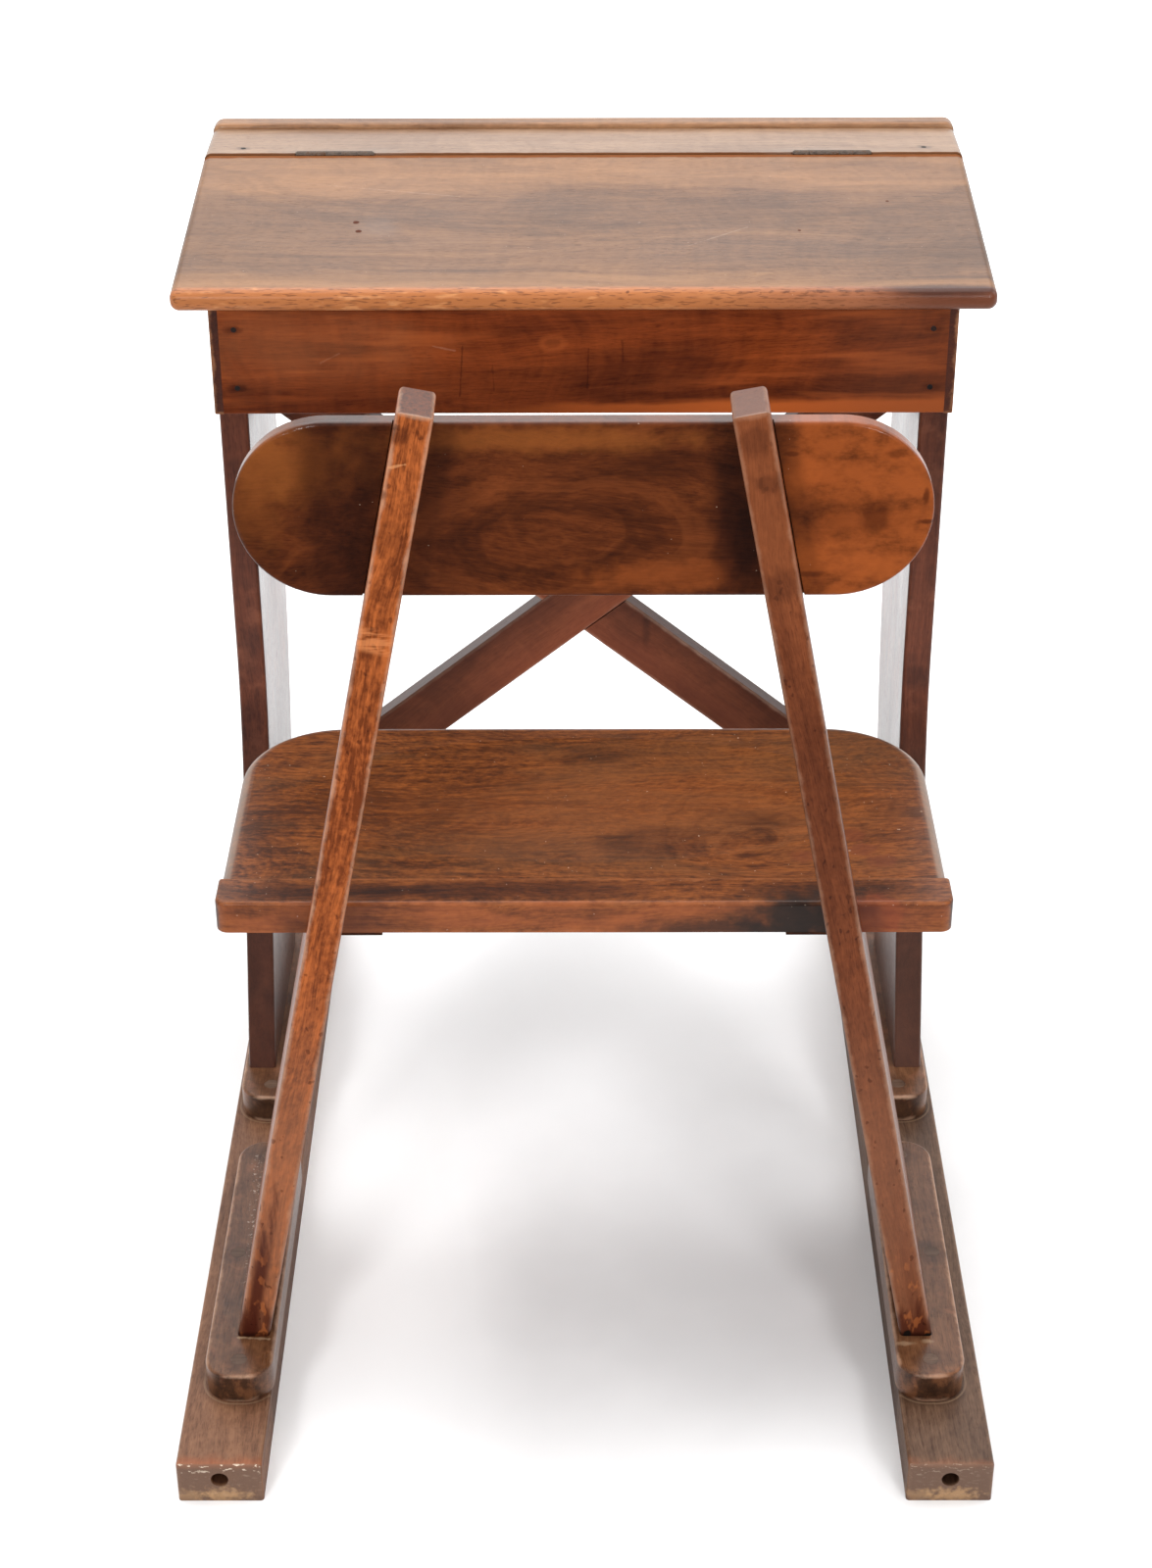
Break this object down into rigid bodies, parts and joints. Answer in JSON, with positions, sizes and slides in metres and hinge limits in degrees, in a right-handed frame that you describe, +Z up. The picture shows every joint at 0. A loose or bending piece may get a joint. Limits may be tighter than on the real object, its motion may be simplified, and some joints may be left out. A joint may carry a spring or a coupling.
{
  "type": "school desk",
  "caption": "School desk joined to a bench seat with backrest by floor skids; its sloping lid lifts on butt hinges over a storage box.",
  "frame": {"origin": "on the floor, below the middle of the bounding box", "axes": "+Z up, +Y the way the sitter faces, from the seat to the desk, +X to the sitter's right"},
  "size_m": [0.633, 0.856, 0.8208],
  "materials": {
    "desk_wood": "polished hardwood, faded and worn",
    "skid_wood": "scuffed, dull hardwood",
    "plug_wood": "smooth wood plugs and dowels",
    "hinge_metal": "darkened steel",
    "fastener_steel": "dull steel"
  },
  "bodies": {
    "desk_frame": {"back_ledge": "desk_wood", "backrest_board": "desk_wood", "backrest_pellets": "plug_wood", "backrest_screws": "fastener_steel", "box_back": "desk_wood", "box_back_nails": "fastener_steel", "box_bottom": "desk_wood", "box_bottom_nails": "fastener_steel", "box_front": "desk_wood", "box_front_nails": "fastener_steel", "box_side_left": "desk_wood", "box_side_right": "desk_wood", "brace_rising_left": "desk_wood", "brace_rising_right": "desk_wood", "brace_screws": "fastener_steel", "cleat_screws": "fastener_steel", "desk_shoe_left": "skid_wood", "desk_shoe_right": "skid_wood", "desk_standard_left": "desk_wood", "desk_standard_right": "desk_wood", "hinge_pin_left": "hinge_metal", "hinge_pin_right": "hinge_metal", "hinge_rail": "desk_wood", "hinge_rail_leaf_left": "hinge_metal", "hinge_rail_leaf_right": "hinge_metal", "hinge_rail_nails": "fastener_steel", "ledge_screws": "fastener_steel", "rail_dowels": "plug_wood", "rail_hinge_screws": "fastener_steel", "seat_cleat_left": "desk_wood", "seat_cleat_right": "desk_wood", "seat_plank": "desk_wood", "seat_rear_rail": "desk_wood", "seat_screws": "fastener_steel", "seat_shoe_left": "skid_wood", "seat_shoe_right": "skid_wood", "seat_standard_left": "desk_wood", "seat_standard_right": "desk_wood", "shoe_pellets": "plug_wood", "shoe_screws": "fastener_steel", "skid_left": "skid_wood", "skid_right": "skid_wood"},
    "lid_assembly": {"lid": "desk_wood", "hinge_lid_leaf_left": "hinge_metal", "hinge_lid_leaf_right": "hinge_metal", "lid_hinge_screws": "fastener_steel"}
  },
  "joints": [
    {"name": "lid_hinge", "type": "hinge", "parent": "desk_frame", "child": "lid_assembly", "pos_m": [0, 0.344, 0.7662], "axis": [-1, 0, 0], "range_deg": [0, 175]}
  ]
}
